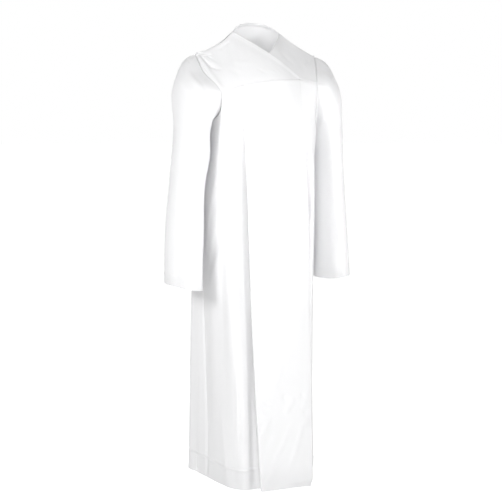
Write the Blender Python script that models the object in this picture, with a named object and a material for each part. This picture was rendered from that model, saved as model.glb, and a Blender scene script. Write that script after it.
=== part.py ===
"""Confirmation robe: a long white robe with a crossed-over yoke and a wide box pleat down the
centre front, kept in the hollow form it has when it is worn.

Metres. X runs to the wearer's left, the front faces -Y and Z is up. The origin lies on the
wearer's shoulders, in the middle of the neck opening, level with its side points.
"""
import math

import bmesh
import bpy
import numpy as np
from mathutils import Vector

WALL = 0.0012             # thickness of every cloth wall
SEAM = 0.0006             # gap that two pieces keep along a seam
LAYER = 0.0032            # how far the crossed-over layer stands off the one under it
SLEEVE_SET = 0.0019       # how far the sleeve head starts off the armhole
SLEEVE_OUT = 0.02         # least run outwards that this set is measured along
HEM_Z = -1.300            # lowest edge of the robe
SHOULDER_X = 0.187        # shoulder point, the top of the armhole
NECK_RIGHT_X = -0.083     # side points of the neck opening
NECK_LEFT_X = 0.068
WRAP_END_X = 0.090        # where the free wrap edge meets the yoke seam
UNDERLAP_END_X = -0.085   # where the hidden edge of the left yoke meets it
PLEAT_RIGHT_X = -0.100    # the box pleat's folds at the yoke seam
PLEAT_LEFT_X = 0.090

STEPS = 3                 # facets between two places of a table
SKIRT_STEPS = 4           # facets between two sections of the skirt
YOKE_STEPS = 6            # facets between two places of the front yokes
CURVE_STEPS = 24          # points a span, where a curve is looked up
SHARP_EDGE = 50           # degrees

WHITE = (0.88, 0.88, 0.89, 1.0)
FABRIC_ROUGHNESS = 0.62

# The shoulder line, and the front yoke seam: x and height
SHOULDER_LINE = (
    (-0.187, -0.0470), (-0.132, -0.0235), (-0.105, -0.0050), (-0.083, 0.0155), (-0.030, 0.0390),
    (0.030, 0.0380), (0.068, 0.0135), (0.103, -0.0095), (0.140, -0.0300), (0.187, -0.0520),
)
SEAM_LINE = (
    (-0.153, -0.158), (-0.100, -0.139), (-0.050, -0.128), (0.020, -0.121),
    (0.090, -0.1195), (0.120, -0.124), (0.1545, -0.131),
)
SHOULDER_BACK = 0.020     # how far the shoulder points lie behind the neck points
RIDGE_ROUND = 0.005       # rounding of the shoulder
CHEST_DEPTH = 0.124       # the chest's reach forward of the shoulder line, and the drop to it
CHEST_DROP = 0.200
OUTER_DEPTH = 0.112       # the same two at the shoulder points
OUTER_DROP = 0.155
CHEST_BEND = 1.28         # how flat the chest starts, in the middle and at the shoulder points
OUTER_BEND = 1.03
RISE_START, RISE_RUN = -0.135, 0.030  # where the right yoke rises onto the left one

# Tucks that fan out over the yoke from the right shoulder point:
# angle below the horizontal in degrees, reach, height of the ridge, half width in degrees
SHOULDER_TUCKS = ((50, 0.070, 0.0034, 9), (31, 0.060, -0.0022, 8), (17, 0.045, 0.0022, 7))

# Eight places round each armhole, as on the left side: x, y, z
RIGHT, LEFT = -1, 1
ARMHOLE = {
    RIGHT: (
        (0.187, 0.020, -0.0470),   # shoulder point
        (0.185, -0.037, -0.098),   # high front
        (0.153, -0.090, -0.158),   # front notch, where the yoke seam meets it
        (0.150, -0.075, -0.205),   # low front
        (0.163, 0.005, -0.240),    # underarm
        (0.160, 0.062, -0.220),    # low back
        (0.160, 0.098, -0.158),    # back notch
        (0.180, 0.066, -0.095),    # high back
    ),
    LEFT: (
        (0.187, 0.020, -0.0520), (0.172, -0.034, -0.088), (0.1545, -0.078, -0.131),
        (0.156, -0.077, -0.190), (0.163, 0.005, -0.240), (0.160, 0.062, -0.220),
        (0.160, 0.098, -0.158), (0.180, 0.066, -0.095),
    ),
}
FRONT_NOTCH, UNDERARM, LOW_BACK, BACK_NOTCH = 2.0, 4.0, 5.0, 6.0
FRONT_ARMHOLE = (3.4, 2.7)           # further places of a side front's edge round the armhole

# The sleeve head, just out from the same eight places
SLEEVE_HEAD = {
    RIGHT: (
        (0.222, 0.012, -0.063), (0.213, -0.052, -0.104), (0.188, -0.100, -0.154),
        (0.172, -0.090, -0.210), (0.1685, 0.000, -0.254), (0.176, 0.072, -0.220),
        (0.190, 0.102, -0.156), (0.212, 0.066, -0.104),
    ),
    LEFT: (
        (0.216, 0.014, -0.067), (0.203, -0.042, -0.100), (0.181, -0.086, -0.140),
        (0.171, -0.084, -0.204), (0.1690, 0.004, -0.254), (0.176, 0.072, -0.220),
        (0.184, 0.102, -0.156), (0.204, 0.066, -0.104),
    ),
}
# Rings down each sleeve: centre x and y, half width, half depth, height outside and inside
SLEEVE_RINGS = {
    RIGHT: (
        (0.2140, -0.008, 0.0445, 0.096, -0.130, -0.290),
        (0.2145, -0.015, 0.0450, 0.098, -0.240, -0.345),
        (0.2310, -0.018, 0.0440, 0.084, -0.380, -0.420),
        (0.2425, -0.021, 0.0510, 0.083, -0.545, -0.560),
        (0.2490, -0.025, 0.0500, 0.089, -0.706, -0.724),
    ),
    LEFT: (
        (0.2055, 0.006, 0.0365, 0.092, -0.125, -0.290),
        (0.2166, 0.002, 0.0380, 0.088, -0.240, -0.345),
        (0.2193, -0.004, 0.0410, 0.083, -0.380, -0.420),
        (0.2263, -0.010, 0.0430, 0.082, -0.545, -0.560),
        (0.2313, -0.014, 0.0480, 0.087, -0.698, -0.712),
    ),
}

# Plan sections of the skirt, a row for each height below the yoke seam: (x, y) of each place
SKIRT_LEVELS = (-0.420, -0.720, -1.020, HEM_Z)
# side seam, hollow, belly, trough, pleat fold, pleat face, valley, end under the box pleat
FRONT_RIGHT = (
    ((-.171, .035), (-.168, -.012), (-.166, -.062), (-.152, -.100),
     (-.146, -.128), (-.134, -.133), (-.108, -.124), (-.072, -.122)),
    ((-.177, .050), (-.172, .012), (-.172, -.058), (-.160, -.108),
     (-.152, -.150), (-.140, -.156), (-.105, -.146), (-.070, -.144)),
    ((-.177, .055), (-.166, .008), (-.166, -.070), (-.154, -.118),
     (-.138, -.157), (-.124, -.166), (-.096, -.160), (-.060, -.160)),
    ((-.178, .060), (-.168, -.002), (-.155, -.085), (-.143, -.128),
     (-.128, -.150), (-.113, -.163), (-.088, -.163), (-.052, -.170)),
)
FRONT_LEFT = (
    ((.166, .035), (.161, -.005), (.151, -.055), (.136, -.088),
     (.122, -.122), (.112, -.130), (.098, -.122), (.062, -.120)),
    ((.173, .050), (.162, .005), (.150, -.048), (.132, -.092),
     (.112, -.140), (.102, -.150), (.086, -.144), (.055, -.142)),
    ((.183, .055), (.166, .000), (.148, -.055), (.130, -.098),
     (.106, -.150), (.097, -.161), (.080, -.160), (.050, -.158)),
    ((.190, .060), (.168, .000), (.150, -.060), (.130, -.108),
     (.104, -.160), (.096, -.172), (.080, -.173), (.050, -.171)),
)
# turned edge, fold, right face, middle, left face, fold, turned edge of the box pleat
PLEAT_FOLDS = (1, 5)
FRONT_PANEL = (
    ((-.090, -.128), (-.098, -.139), (-.055, -.147), (-.002, -.149),
     (.052, -.146), (.096, -.138), (.089, -.127)),
    ((-.088, -.149), (-.0965, -.163), (-.054, -.168), (-.002, -.171),
     (.050, -.168), (.094, -.161), (.087, -.149)),
    ((-.082, -.169), (-.091, -.184), (-.050, -.186), (.000, -.188),
     (.050, -.188), (.092, -.184), (.085, -.170)),
    ((-.070, -.179), (-.079, -.196), (-.036, -.197), (.006, -.199),
     (.050, -.203), (.090, -.205), (.083, -.190)),
)
# side seam, lobe, dip, ridge, dip, ridge, centre back, then the other side
BACK = (
    ((-.171, .035), (-.168, .080), (-.146, .118), (-.112, .146), (-.075, .142), (-.038, .154),
     (.000, .146),
     (.041, .155), (.078, .143), (.110, .147), (.143, .116), (.165, .082), (.166, .035)),
    ((-.177, .050), (-.177, .098), (-.152, .132), (-.118, .162), (-.078, .154), (-.040, .172),
     (.001, .160),
     (.043, .173), (.081, .156), (.119, .164), (.147, .128), (.173, .096), (.173, .050)),
    ((-.177, .055), (-.183, .108), (-.157, .144), (-.124, .176), (-.080, .164), (-.042, .188),
     (.002, .172),
     (.046, .187), (.083, .166), (.124, .178), (.150, .133), (.180, .102), (.183, .055)),
    ((-.178, .060), (-.1870, .115), (-.160, .152), (-.130, .186), (-.083, .172), (-.044, .200),
     (.003, .180),
     (.048, .198), (.086, .174), (.129, .188), (.152, .139), (.184, .110), (.190, .060)),
)
# Front yokes between the shoulder seam and the yoke seam, as (x, z) from inside the armhole to
# the free edge: the share of the armhole's front that each row starts at, and its places
YOKE_RIGHT = (
    (0.35, ((-.142, -.070), (-.090, -.048), (-.029, -.028))),
    (0.68, ((-.114, -.113), (-.042, -.093), (.030, -.073))),
)
YOKE_LEFT = (
    (0.35, ((.128, -.055), (.074, -.043), (.020, -.0315))),
    (0.68, ((.112, -.098), (.040, -.090), (-.033, -.082))),
)
YOKE_SHOULDER = (0.148, 0.112)       # places between the shoulder point and the neck point
YOKE_SEAM_SHARES = (0, .30, .64, 1)  # places along the yoke seam, as shares of its length
# Places of each side front along the yoke seam, from the armhole to under the box pleat
SEAM_RIGHT = (-.142, -.130, -.104, -.072)
SEAM_LEFT = (.128, .116, .098, .066)
# Places of the box pleat along the yoke seam, between its pressed folds
PLEAT_PRESS = .0022
PLEAT_PLACES = (-.055, -.005, .045)
# Half of the back yoke below its top edge: inner shoulder, below the neck point, neck side, centre
YOKE_BACK_UPPER = ((.128, .050, -.050), (.084, .050, -.022), (.044, .062, -.002), (0, .068, .006))
YOKE_BACK_LOWER = ((.120, .088, -.100), (.082, .090, -.080), (.042, .094, -.066), (0, .096, -.062))
YOKE_BACK_SEAM = ((.118, .113, -.152), (.080, .118, -.149), (.040, .120, -.147), (0, .121, -.146))
YOKE_BACK_ROWS = ((7.35, YOKE_BACK_UPPER), (6.70, YOKE_BACK_LOWER), (6.0, YOKE_BACK_SEAM))
BACK_SHOULDER_RIGHT = (-.187, -.132, NECK_RIGHT_X)
BACK_SHOULDER_LEFT = (NECK_LEFT_X, .128, .187)
BACK_SEAM_GAP = 2.5 * SEAM           # the front yokes' wall rounds over towards the back one
# The back of the neck, from the right side point to the left one
NECK_BACK = ((-.052, .032, .036), (-.008, .045, .044), (.038, .034, .037))


def spline(points, steps, closed=False, corners=()):
    """A smooth curve through the points, cut into the given number of steps a span."""
    points = np.asarray(points, float)
    count = len(points)
    spans = count if closed else count - 1
    after = np.roll(points, -1, 0)
    chord = np.maximum(np.linalg.norm(after - points, axis=1), 1e-9)
    slope = (after - points) / chord[:, None]

    def tangent(index, span):
        before, behind = (index - 1) % count, index % count
        if not closed and (index in (0, count - 1) or index in corners):
            return slope[span]
        weight = chord[before] + chord[behind]
        return (slope[before] * chord[behind] + slope[behind] * chord[before]) / weight

    curve = []
    for span in range(spans):
        start, end = points[span], points[(span + 1) % count]
        leave = tangent(span, span) * chord[span]
        arrive = tangent(span + 1, span) * chord[span]
        for step in range(steps):
            t = step / steps
            curve.append(
                start * (2 * t**3 - 3 * t**2 + 1) + leave * (t**3 - 2 * t**2 + t)
                + end * (3 * t**2 - 2 * t**3) + arrive * (t**3 - t**2))
    if not closed:
        curve.append(points[-1])
    return np.array(curve)


def between(stops, steps):
    """Evenly spaced numbers from each stop to the next one."""
    runs = [np.linspace(start, end, steps, endpoint=False) for start, end in zip(stops, stops[1:])]
    return np.append(np.concatenate(runs), stops[-1])


def loft(rows, down):
    """A grid of points, smooth from each row to the next."""
    columns = [spline(column, down) for column in np.swapaxes(np.array(rows), 0, 1)]
    return np.swapaxes(np.array(columns), 0, 1)


def along(line, x):
    """Height of a smooth line at x."""
    places, heights = np.transpose(spline(line, CURVE_STEPS))
    return float(np.interp(x, places, heights))


def ridge_z(x):
    return along(SHOULDER_LINE, x)


def ridge_y(x):
    return SHOULDER_BACK * (abs(x) / SHOULDER_X) ** 1.4


def chest_y(x, z):
    """The chest's surface, falling forward and down from the shoulder line."""
    out = (x / SHOULDER_X) ** 2
    drop = max(ridge_z(x) - z, 0.0)
    round_drop = math.sqrt(drop * (drop + 2 * RIDGE_ROUND))
    reach = min(round_drop / (CHEST_DROP + (OUTER_DROP - CHEST_DROP) * out), 1.0)
    depth = CHEST_DEPTH + (OUTER_DEPTH - CHEST_DEPTH) * out
    bend = CHEST_BEND + (OUTER_BEND - CHEST_BEND) * out
    return ridge_y(x) - depth * math.sin(math.pi / 2 * reach**bend)


def on_chest(x, z, lift=0.0):
    return (x, chest_y(x, z) - lift, z)


def seam_z(x):
    return along(SEAM_LINE, x)


def on_seam(x, lift=0.0):
    """A point just under the yoke seam."""
    z = seam_z(x)
    return (x, chest_y(x, z) - lift, z - SEAM)


def armhole(place, side):
    """A point of one side's armhole, at a place counted round it."""
    curve = spline(ARMHOLE[side], CURVE_STEPS, closed=True)
    index = (place * CURVE_STEPS) % len(curve)
    low = int(index)
    share = index - low
    x, y, z = curve[low] * (1 - share) + curve[(low + 1) % len(curve)] * share
    if 0 <= place <= FRONT_NOTCH:
        y = chest_y(x, z)
    return np.array((side * x, y, z))


def armhole_edge(stops, side):
    return [armhole(place, side) - (0, 0, SEAM) for place in between(stops, STEPS)]


def crossing_lift(x):
    """The right yoke rises onto the left one before it crosses over it."""
    t = min(max((x - RISE_START) / RISE_RUN, 0.0), 1.0)
    return LAYER * t * t * (3 - 2 * t)


def tuck_lift(x, z):
    """Ridges and grooves of the shoulder tucks; they start a little inside the armhole."""
    out, down = x + SHOULDER_X, SHOULDER_LINE[0][1] - z
    distance = math.hypot(out, down)
    angle = math.degrees(math.atan2(down, out))
    rise = 0.0
    for centre, reach, height, width in SHOULDER_TUCKS:
        along_tuck = max(distance / reach, 0.0)
        if along_tuck < 1:
            swell = math.sin(math.pi * along_tuck ** 0.75) ** 2
            rise += height * swell * math.exp(-((angle - centre) / width) ** 2)
    return rise


def level(normal):
    """A wall's rim that is cut square to its front, along the yoke seam."""
    return Vector((normal.x, normal.y, 0)).normalized()


def upright(normal):
    """A wall's rim that is cut straight down, along the shoulder seam."""
    return Vector((0, 0, 1))


def material():
    cloth = bpy.data.materials.new("white_polyester")
    cloth.use_nodes = True
    shader = cloth.node_tree.nodes["Principled BSDF"]
    shader.inputs["Base Color"].default_value = WHITE
    shader.inputs["Roughness"].default_value = FABRIC_ROUGHNESS
    shader.inputs["Metallic"].default_value = 0.0
    return cloth


def cloth_piece(name, grid, cloth, closed=False, top=None, bottom=None):
    """A cloth wall: its outer face is the grid, and its thickness lies on the wearer's side."""
    rows, columns = grid.shape[:2]
    wide = columns + 1 if closed else columns
    shell = bmesh.new()
    bmesh.ops.create_grid(shell, x_segments=wide - 1, y_segments=rows - 1)
    shell.verts.ensure_lookup_table()
    rim = {}
    for row in range(rows):
        for column in range(wide):
            vertex = shell.verts[row * wide + column]
            vertex.co = grid[row, column % columns]
            rim[vertex] = top if row == 0 else bottom if row == rows - 1 else None
    if closed:
        doubles = bmesh.ops.find_doubles(shell, verts=shell.verts, dist=1e-6)["targetmap"]
        for stale in doubles:
            rim.pop(stale)
        bmesh.ops.weld_verts(shell, targetmap=doubles)
    shell.normal_update()
    middle = shell.faces[:][len(shell.faces) // 2]
    centre = Vector(grid.reshape(-1, 3).mean(0)) if closed else Vector()
    outward = middle.calc_center_median() - centre
    outward.z = 0
    if outward.dot(middle.normal) < 0:
        bmesh.ops.reverse_faces(shell, faces=shell.faces)
        shell.normal_update()
    bmesh.ops.triangulate(shell, faces=shell.faces[:], quad_method="SHORT_EDGE")
    inward = [(rim[v](v.normal) if rim[v] else v.normal) * -WALL for v in shell.verts]
    places = [v.co + step for v, step in zip(shell.verts, inward)]
    front = list(shell.verts)
    inside = bmesh.ops.extrude_face_region(shell, geom=shell.faces[:], use_keep_orig=True)["geom"]
    inside = [item for item in inside if isinstance(item, bmesh.types.BMVert)]
    behind = {tuple(v.co): v for v in inside}
    for vertex, place in zip(front, places):
        behind[tuple(vertex.co)].co = place
    bmesh.ops.recalc_face_normals(shell, faces=shell.faces)
    mesh = bpy.data.meshes.new(name)
    shell.to_mesh(mesh)
    shell.free()
    mesh.shade_smooth()
    mesh.set_sharp_from_angle(angle=math.radians(SHARP_EDGE))
    mesh.materials.append(cloth)
    piece = bpy.data.objects.new(name, mesh)
    bpy.context.collection.objects.link(piece)
    return piece


def skirt_rows(table, corners=()):
    return [spline([(x, y, z) for x, y in row], STEPS, corners=corners)
            for row, z in zip(table, SKIRT_LEVELS)]


def no_lift(x, z):
    return 0.0


def yoke_grid(side, neck_x, seam_end, table, lift=no_lift):
    """A front yoke: from the shoulder seam to the yoke seam, from the armhole to its free edge."""
    stops = [side * SHOULDER_X] + [side * x for x in YOKE_SHOULDER] + [neck_x]
    rows = [[(x, ridge_z(x)) for x in between(stops, YOKE_STEPS)]]
    for share, inner in table:
        edge = armhole(FRONT_NOTCH * share, side)
        rows.append(spline([(edge[0], edge[2])] + list(inner), YOKE_STEPS))
    start = armhole(FRONT_NOTCH, side)[0]
    stops = [start + (seam_end - start) * share for share in YOKE_SEAM_SHARES]
    rows.append([(x, seam_z(x)) for x in between(stops, YOKE_STEPS)])
    flat = loft(rows, YOKE_STEPS)
    grid = np.array([[on_chest(x, z, lift(x, z)) for x, z in row] for row in flat])
    for row in range(len(grid)):
        grid[row, 0] = armhole(FRONT_NOTCH * row / (len(grid) - 1), side)
    return grid


def right_lift(x, z):
    return crossing_lift(x) + tuck_lift(x, z)


def yoke_right(cloth):
    """Crosses over on top, with its free edge running down to the left."""
    grid = yoke_grid(RIGHT, NECK_RIGHT_X, WRAP_END_X, YOKE_RIGHT, right_lift)
    return cloth_piece("yoke_right", grid, cloth, top=upright, bottom=level)


def yoke_left(cloth):
    """Runs under the right yoke, past the centre front."""
    grid = yoke_grid(LEFT, NECK_LEFT_X, UNDERLAP_END_X, YOKE_LEFT)
    return cloth_piece("yoke_left", grid, cloth, top=upright, bottom=level)


def mirrored(half):
    """A whole row from its left half, whose last point lies on the centre line."""
    return [np.array(point) * (-1, 1, 1) for point in half] + list(half[-2::-1])


def behind_shoulder(stops):
    """The back yoke's side of a shoulder seam."""
    return [(x, ridge_y(x) + BACK_SEAM_GAP, ridge_z(x)) for x in between(stops, STEPS)]


def across_back(place, half):
    """A row of the back yoke, from armhole to armhole."""
    return spline([armhole(place, RIGHT)] + mirrored(half) + [armhole(place, LEFT)], STEPS)


def yoke_back(cloth):
    """Back yoke with the neck's stand grown on."""
    right = behind_shoulder(BACK_SHOULDER_RIGHT)
    left = behind_shoulder(BACK_SHOULDER_LEFT)
    neck = list(spline((right[-1],) + NECK_BACK + (left[0],), STEPS))
    rows = [right + neck[1:-1] + left]
    rows += [across_back(place, half) for place, half in YOKE_BACK_ROWS]
    return cloth_piece("yoke_back", loft(rows, STEPS), cloth, top=upright, bottom=level)


def side_front(name, side, sections, seam_places, cloth):
    """A side front, from the side seam round to its end under the box pleat."""
    top = armhole_edge((UNDERARM,) + FRONT_ARMHOLE + (FRONT_NOTCH,), side)
    first = armhole(FRONT_NOTCH, side)[0]
    top += [on_seam(x) for x in between((first,) + seam_places, STEPS)[1:]]
    grid = loft([top] + skirt_rows(sections), SKIRT_STEPS)
    grid[:, 0, 1] -= SEAM
    return cloth_piece(name, grid, cloth, top=level)


def front_panel(cloth):
    """The box pleat's face, pressed flat at the yoke seam and turned back along both folds."""
    right = (PLEAT_RIGHT_X, PLEAT_RIGHT_X + PLEAT_PRESS)
    left = (PLEAT_LEFT_X - PLEAT_PRESS, PLEAT_LEFT_X)
    top = [on_seam(x, LAYER) for x in between(right + PLEAT_PLACES + left, STEPS)]
    grid = loft([top] + skirt_rows(FRONT_PANEL, corners=PLEAT_FOLDS), SKIRT_STEPS)
    return cloth_piece("front_panel", grid, cloth, top=level)


def back(cloth):
    """The back below its yoke, from side seam to side seam."""
    across = [point - (0, 0, SEAM) for point in across_back(BACK_NOTCH, YOKE_BACK_SEAM)]
    right = armhole_edge((UNDERARM, LOW_BACK, BACK_NOTCH), RIGHT)
    left = armhole_edge((BACK_NOTCH, LOW_BACK, UNDERARM), LEFT)
    grid = loft([right + across[1:-1] + left] + skirt_rows(BACK), SKIRT_STEPS)
    grid[:, 0, 1] += SEAM
    grid[:, -1, 1] += SEAM
    return cloth_piece("back", grid, cloth, top=level)


def sleeve(name, side, cloth):
    """An open tube from the armhole, over the sleeve head and down to the cuff."""
    places = len(ARMHOLE[side]) * STEPS
    head = spline(SLEEVE_HEAD[side], STEPS, closed=True)
    start = np.array([armhole(place / STEPS, side) for place in range(places)])
    start[:, 0] *= side
    away = head - start
    away[:, 0] = np.maximum(away[:, 0], SLEEVE_OUT)
    away /= np.linalg.norm(away, axis=1)[:, None]
    rows = [start + away * SLEEVE_SET, head]
    for x, y, half_width, half_depth, z_outer, z_inner in SLEEVE_RINGS[side]:
        ring = []
        for turn in np.linspace(0, 2 * math.pi, places, endpoint=False):
            slant = (z_outer - z_inner) / 2 * math.cos(turn)
            ring.append((x + math.cos(turn) * half_width, y - math.sin(turn) * half_depth,
                         (z_outer + z_inner) / 2 + slant))
        rows.append(ring)
    grid = loft(rows, STEPS)
    grid[:, :, 0] *= side
    return cloth_piece(name, grid, cloth, closed=True)


def main():
    for stale in list(bpy.data.objects):
        bpy.data.objects.remove(stale, do_unlink=True)
    cloth = material()
    yoke_right(cloth)
    yoke_left(cloth)
    yoke_back(cloth)
    front_panel(cloth)
    side_front("front_right", RIGHT, FRONT_RIGHT, SEAM_RIGHT, cloth)
    side_front("front_left", LEFT, FRONT_LEFT, SEAM_LEFT, cloth)
    back(cloth)
    sleeve("sleeve_right", RIGHT, cloth)
    sleeve("sleeve_left", LEFT, cloth)


main()
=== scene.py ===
"""Looks of the confirmation robe: thin shells of white polyester cloth on the frame's pieces.

Metres, in the frame's own axes: X to the wearer's left, the front towards -Y, Z up.
"""
import math

import bmesh
import bpy
import numpy as np
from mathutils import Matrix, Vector, noise


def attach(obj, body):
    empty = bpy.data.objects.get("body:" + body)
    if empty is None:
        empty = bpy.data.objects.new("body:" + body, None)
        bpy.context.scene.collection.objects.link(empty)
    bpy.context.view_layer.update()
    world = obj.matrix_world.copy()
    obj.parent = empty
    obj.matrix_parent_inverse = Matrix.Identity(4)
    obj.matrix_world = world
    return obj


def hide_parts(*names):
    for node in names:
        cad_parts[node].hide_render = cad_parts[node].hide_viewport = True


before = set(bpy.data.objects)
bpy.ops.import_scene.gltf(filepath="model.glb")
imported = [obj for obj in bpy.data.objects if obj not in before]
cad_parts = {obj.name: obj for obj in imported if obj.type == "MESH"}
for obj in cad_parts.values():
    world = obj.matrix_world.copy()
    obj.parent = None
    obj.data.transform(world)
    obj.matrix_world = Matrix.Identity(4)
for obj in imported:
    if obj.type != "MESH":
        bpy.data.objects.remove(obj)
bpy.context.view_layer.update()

# Sizes of the cut, as in the frame
SEAM = 0.0001             # two pieces almost touch along a seam
LAYER = 0.0032            # how far the crossed-over layer stands off the one under it
SLEEVE_SET = 0.0006       # how far the sleeve head starts off the armhole
SLEEVE_OUT = 0.02         # least run outwards that this set is measured along
HEM_Z = -1.300            # lowest edge of the robe
SHOULDER_X = 0.187        # shoulder point, the top of the armhole
NECK_RIGHT_X = -0.083     # side points of the neck opening
NECK_LEFT_X = 0.068
WRAP_END_X = 0.090        # where the free wrap edge meets the yoke seam
UNDERLAP_END_X = -0.085   # where the hidden edge of the left yoke meets it
PLEAT_RIGHT_X = -0.100    # the box pleat's folds at the yoke seam
PLEAT_LEFT_X = 0.090
RIGHT, LEFT = -1, 1       # sides, as the sign of x
CURVE_STEPS = 24          # points a span, where a curve is looked up
TINY = 1e-12              # keeps a division by a length from failing
WELD = 2e-6               # points of a mesh closer than this become one

# The shoulder line, and the front yoke seam: x and height
SHOULDER_LINE = (
    (-0.187, -0.0470), (-0.132, -0.0235), (-0.105, -0.0050), (-0.083, 0.0155), (-0.030, 0.0390),
    (0.030, 0.0380), (0.068, 0.0135), (0.103, -0.0095), (0.140, -0.0300), (0.187, -0.0520),
)
SEAM_LINE = (
    (-0.153, -0.158), (-0.100, -0.139), (-0.050, -0.128), (0.020, -0.121),
    (0.090, -0.1195), (0.120, -0.124), (0.1545, -0.131),
)
SHOULDER_BACK = 0.020     # how far the shoulder points lie behind the neck points
SHOULDER_BEND = 1.4       # how late the shoulder line turns back
RIDGE_ROUND = 0.005       # rounding of the shoulder
CHEST_DEPTH = 0.124       # the chest's reach forward of the shoulder line, and the drop to it
CHEST_DROP = 0.200
OUTER_DEPTH = 0.112       # the same two at the shoulder points
OUTER_DROP = 0.155
CHEST_BEND = 1.28         # how flat the chest starts, in the middle and at the shoulder points
OUTER_BEND = 1.03
RISE_START, RISE_RUN = -0.135, 0.030  # where the right yoke rises onto the left one
FALL_START, FALL_RUN = 0.004, 0.006   # where the side front sinks again, from the pleat's fold

# Eight places round each armhole, as on the left side: x, y, z
ARMHOLE = {
    RIGHT: (
        (0.187, 0.020, -0.0470),   # shoulder point
        (0.185, -0.037, -0.098),   # high front
        (0.153, -0.090, -0.158),   # front notch, where the yoke seam meets it
        (0.150, -0.075, -0.205),   # low front
        (0.163, 0.005, -0.240),    # underarm
        (0.160, 0.062, -0.220),    # low back
        (0.160, 0.098, -0.158),    # back notch
        (0.180, 0.066, -0.095),    # high back
    ),
    LEFT: (
        (0.187, 0.020, -0.0520), (0.172, -0.034, -0.088), (0.1545, -0.078, -0.131),
        (0.156, -0.077, -0.190), (0.163, 0.005, -0.240), (0.160, 0.062, -0.220),
        (0.160, 0.098, -0.158), (0.180, 0.066, -0.095),
    ),
}
# Places counted round an armhole from the shoulder point
FRONT_NOTCH, UNDERARM, LOW_BACK, BACK_NOTCH = 2.0, 4.0, 5.0, 6.0
FRONT_ARMHOLE = (3.4, 2.7)           # further places of a side front's edge round the armhole

# The sleeve head, just out from the same eight places
SLEEVE_HEAD = {
    RIGHT: (
        (0.222, 0.012, -0.063), (0.215, -0.041, -0.104), (0.191, -0.089, -0.154),
        (0.172, -0.088, -0.210), (0.1685, 0.000, -0.254), (0.176, 0.072, -0.220),
        (0.190, 0.102, -0.156), (0.212, 0.066, -0.104),
    ),
    LEFT: (
        (0.216, 0.014, -0.067), (0.203, -0.042, -0.100), (0.181, -0.086, -0.140),
        (0.171, -0.084, -0.204), (0.1690, 0.004, -0.254), (0.176, 0.072, -0.220),
        (0.184, 0.102, -0.156), (0.204, 0.066, -0.104),
    ),
}
# Rings down each sleeve: centre x and y, half width, half depth, height outside and inside
SLEEVE_RINGS = {
    RIGHT: (
        (0.2140, -0.008, 0.0445, 0.096, -0.130, -0.290),
        (0.2145, -0.010, 0.0450, 0.091, -0.240, -0.345),
        (0.2310, -0.018, 0.0440, 0.084, -0.380, -0.420),
        (0.2425, -0.021, 0.0510, 0.083, -0.545, -0.560),
        (0.2490, -0.025, 0.0500, 0.089, -0.706, -0.724),
    ),
    LEFT: (
        (0.2055, 0.006, 0.0365, 0.092, -0.125, -0.290),
        (0.2166, 0.002, 0.0380, 0.088, -0.240, -0.345),
        (0.2193, -0.004, 0.0410, 0.083, -0.380, -0.420),
        (0.2263, -0.010, 0.0430, 0.082, -0.545, -0.560),
        (0.2313, -0.014, 0.0480, 0.087, -0.698, -0.712),
    ),
}

# Plan sections of the skirt, a row for each height below the yoke seam: (x, y) of each place
SKIRT_LEVELS = (-0.420, -0.720, -1.020, HEM_Z)
# side seam, hollow, belly, trough, pleat fold, pleat face, valley, end under the box pleat
FRONT_RIGHT = (
    ((-.171, .035), (-.168, -.012), (-.166, -.062), (-.152, -.100),
     (-.146, -.128), (-.134, -.133), (-.108, -.124), (-.072, -.122)),
    ((-.177, .050), (-.172, .012), (-.172, -.058), (-.160, -.108),
     (-.152, -.150), (-.140, -.156), (-.105, -.146), (-.070, -.144)),
    ((-.177, .055), (-.166, .008), (-.166, -.070), (-.154, -.118),
     (-.138, -.157), (-.124, -.166), (-.096, -.160), (-.060, -.160)),
    ((-.178, .060), (-.168, -.002), (-.155, -.085), (-.143, -.128),
     (-.128, -.150), (-.113, -.163), (-.088, -.163), (-.052, -.170)),
)
FRONT_LEFT = (
    ((.166, .035), (.161, -.005), (.151, -.055), (.136, -.088),
     (.122, -.122), (.112, -.130), (.098, -.122), (.062, -.120)),
    ((.173, .050), (.162, .005), (.150, -.048), (.132, -.092),
     (.112, -.140), (.102, -.150), (.086, -.144), (.055, -.142)),
    ((.183, .055), (.166, .000), (.148, -.055), (.130, -.098),
     (.106, -.150), (.097, -.161), (.080, -.160), (.050, -.158)),
    ((.190, .060), (.168, .000), (.150, -.060), (.130, -.108),
     (.104, -.160), (.096, -.172), (.080, -.173), (.050, -.171)),
)
# turned edge, fold, right face, middle, left face, fold, turned edge of the box pleat
PLEAT_FOLDS = (1, 5)
FRONT_PANEL = (
    ((-.090, -.128), (-.098, -.139), (-.055, -.147), (-.002, -.149),
     (.052, -.146), (.096, -.138), (.089, -.127)),
    ((-.088, -.149), (-.0965, -.163), (-.054, -.168), (-.002, -.171),
     (.050, -.168), (.094, -.161), (.087, -.149)),
    ((-.082, -.169), (-.091, -.184), (-.050, -.186), (.000, -.188),
     (.050, -.188), (.092, -.184), (.085, -.170)),
    ((-.070, -.179), (-.079, -.196), (-.036, -.197), (.006, -.199),
     (.050, -.203), (.090, -.205), (.083, -.190)),
)
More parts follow.
